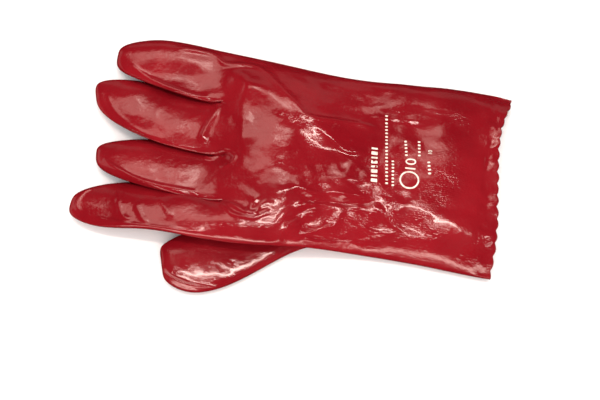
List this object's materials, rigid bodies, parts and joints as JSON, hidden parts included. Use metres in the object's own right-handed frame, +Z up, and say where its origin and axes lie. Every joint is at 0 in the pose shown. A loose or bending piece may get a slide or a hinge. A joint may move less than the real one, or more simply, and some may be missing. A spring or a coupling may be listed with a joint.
{
  "type": "pvc coated work glove",
  "caption": "Right-hand PVC coated work glove with a long gauntlet cuff and a scalloped edge, empty and lying on its palm.",
  "frame": {"origin": "bottom centre of the bounding box, on the surface that the glove lies on", "axes": "+X from the fingers towards the open cuff, +Y towards the little finger's side, +Z up through the back of the hand"},
  "size_m": [0.2722, 0.1698, 0.0314],
  "materials": {
    "pvc": "glossy deep red dipped coating with a faint knit texture showing through at the wrist"
  },
  "bodies": {
    "root": {"glove_shell": "pvc"}
  },
  "joints": []
}
